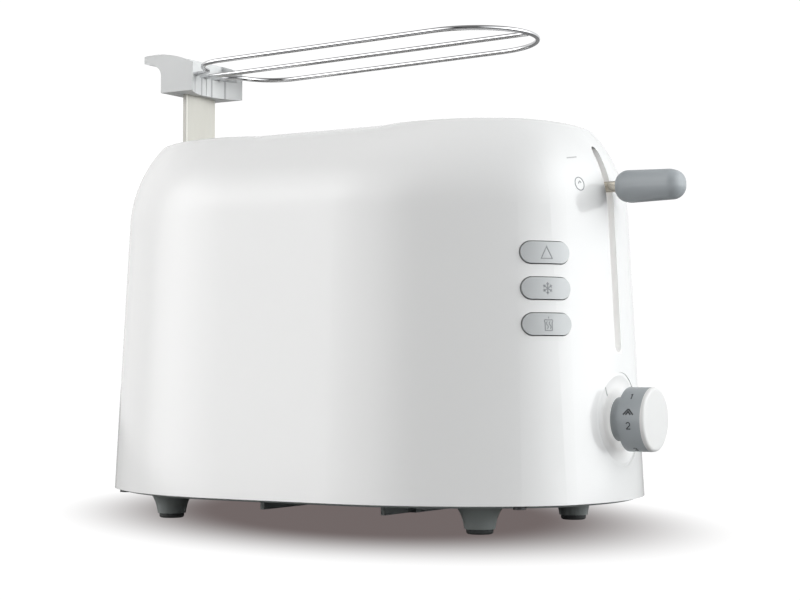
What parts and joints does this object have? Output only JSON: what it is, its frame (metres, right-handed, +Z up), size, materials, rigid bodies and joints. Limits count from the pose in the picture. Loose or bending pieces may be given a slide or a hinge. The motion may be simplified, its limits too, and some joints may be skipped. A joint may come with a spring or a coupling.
{
  "type": "toaster",
  "caption": "Pop-up toaster with an oval white body, two long bread slots, a side lever, a browning dial, push buttons, a crumb tray and a lifting wire warming rack.",
  "frame": {"origin": "on the counter, under the middle of the body's plan, at the bottom of the foot pads", "axes": "+X along the body towards the lever and dial, +Y to the back where the mains lead comes in, +Z up"},
  "size_m": [0.3217, 0.1856, 0.2493],
  "materials": {
    "shell_white": "gloss",
    "base_grey": "satin",
    "pad_rubber": "matte",
    "lever_grey": "satin",
    "button_silver": "satin",
    "rack_grey": "satin",
    "chrome_wire": "polished",
    "post_steel": "brushed",
    "liner_cream": "satin",
    "chassis_steel": "satin",
    "mica": "satin",
    "heater_ribbon": "satin",
    "board_green": "satin",
    "part_black": "satin",
    "coil_copper": "gloss",
    "screw_steel": "satin"
  },
  "bodies": {
    "housing": {"shell_front": "shell_white", "shell_rear": "shell_white", "shell_bridge": "shell_white", "shell_left": "shell_white", "shell_right": "shell_white", "base_plate": "base_grey", "foot_pads": "pad_rubber", "base_screws": "screw_steel", "end_plate_left": "chassis_steel", "end_plate_right": "chassis_steel", "reflector_front": "chassis_steel", "reflector_rear": "chassis_steel", "slot_liner": "liner_cream", "heater_card_front": "mica", "heater_card_centre": "mica", "heater_card_rear": "mica", "heater_winding_front": "heater_ribbon", "heater_winding_centre": "heater_ribbon", "heater_winding_rear": "heater_ribbon", "bread_guard_front_outer": "chassis_steel", "bread_guard_front_inner": "chassis_steel", "bread_guard_rear_inner": "chassis_steel", "bread_guard_rear_outer": "chassis_steel", "rod_bracket": "chassis_steel", "guide_rod": "screw_steel", "control_board": "board_green", "magnet_core": "screw_steel", "magnet_coil": "coil_copper", "potentiometer": "part_black", "button_board": "board_green", "button_switches": "part_black", "board_screws": "screw_steel", "rack_guide": "base_grey", "cord_gland": "part_black", "terminal_block": "part_black"},
    "carriage": {"carriage": "chassis_steel", "lever_arm": "post_steel", "lever_handle": "lever_grey", "bread_lifter_front": "chassis_steel", "bread_lifter_rear": "chassis_steel", "return_spring": "screw_steel"},
    "rack": {"rack_post": "post_steel", "rack_head": "rack_grey", "rack_loop": "chrome_wire", "rack_centre_wire": "chrome_wire"},
    "knob": {"knob_shaft": "screw_steel", "knob_skirt": "lever_grey", "knob_cap": "shell_white"},
    "top_button": {"button_top": "button_silver"},
    "middle_button": {"button_middle": "button_silver"},
    "bottom_button": {"button_bottom": "button_silver"},
    "tray": {"crumb_tray": "chassis_steel", "tray_front": "shell_white"}
  },
  "joints": [
    {"name": "lever_slide", "type": "slide", "parent": "housing", "child": "carriage", "axis": [0, 0, 1], "range_m": [-0.075, 0.0155], "stiffness_N_per_m": 80, "springref_m": 0.0155, "deforming": ["return_spring"]},
    {"name": "rack_slide", "type": "slide", "parent": "housing", "child": "rack", "axis": [0, 0, 1], "range_m": [-0.042, 0]},
    {"name": "knob_turn", "type": "hinge", "parent": "housing", "child": "knob", "pos_m": [0.15, 0, 0.053], "axis": [-1, 0, 0], "range_deg": [0, 280]},
    {"name": "top_press", "type": "slide", "parent": "housing", "child": "top_button", "axis": [-0.814, 0.5785, -0.0516], "range_m": [0, 0.0015], "stiffness_N_per_m": 400},
    {"name": "middle_press", "type": "slide", "parent": "housing", "child": "middle_button", "axis": [-0.814, 0.5785, -0.0516], "range_m": [0, 0.0015], "stiffness_N_per_m": 400},
    {"name": "bottom_press", "type": "slide", "parent": "housing", "child": "bottom_button", "axis": [-0.814, 0.5785, -0.0516], "range_m": [0, 0.0015], "stiffness_N_per_m": 400},
    {"name": "tray_slide", "type": "slide", "parent": "housing", "child": "tray", "axis": [-1, 0, 0], "range_m": [0, 0.15]}
  ]
}
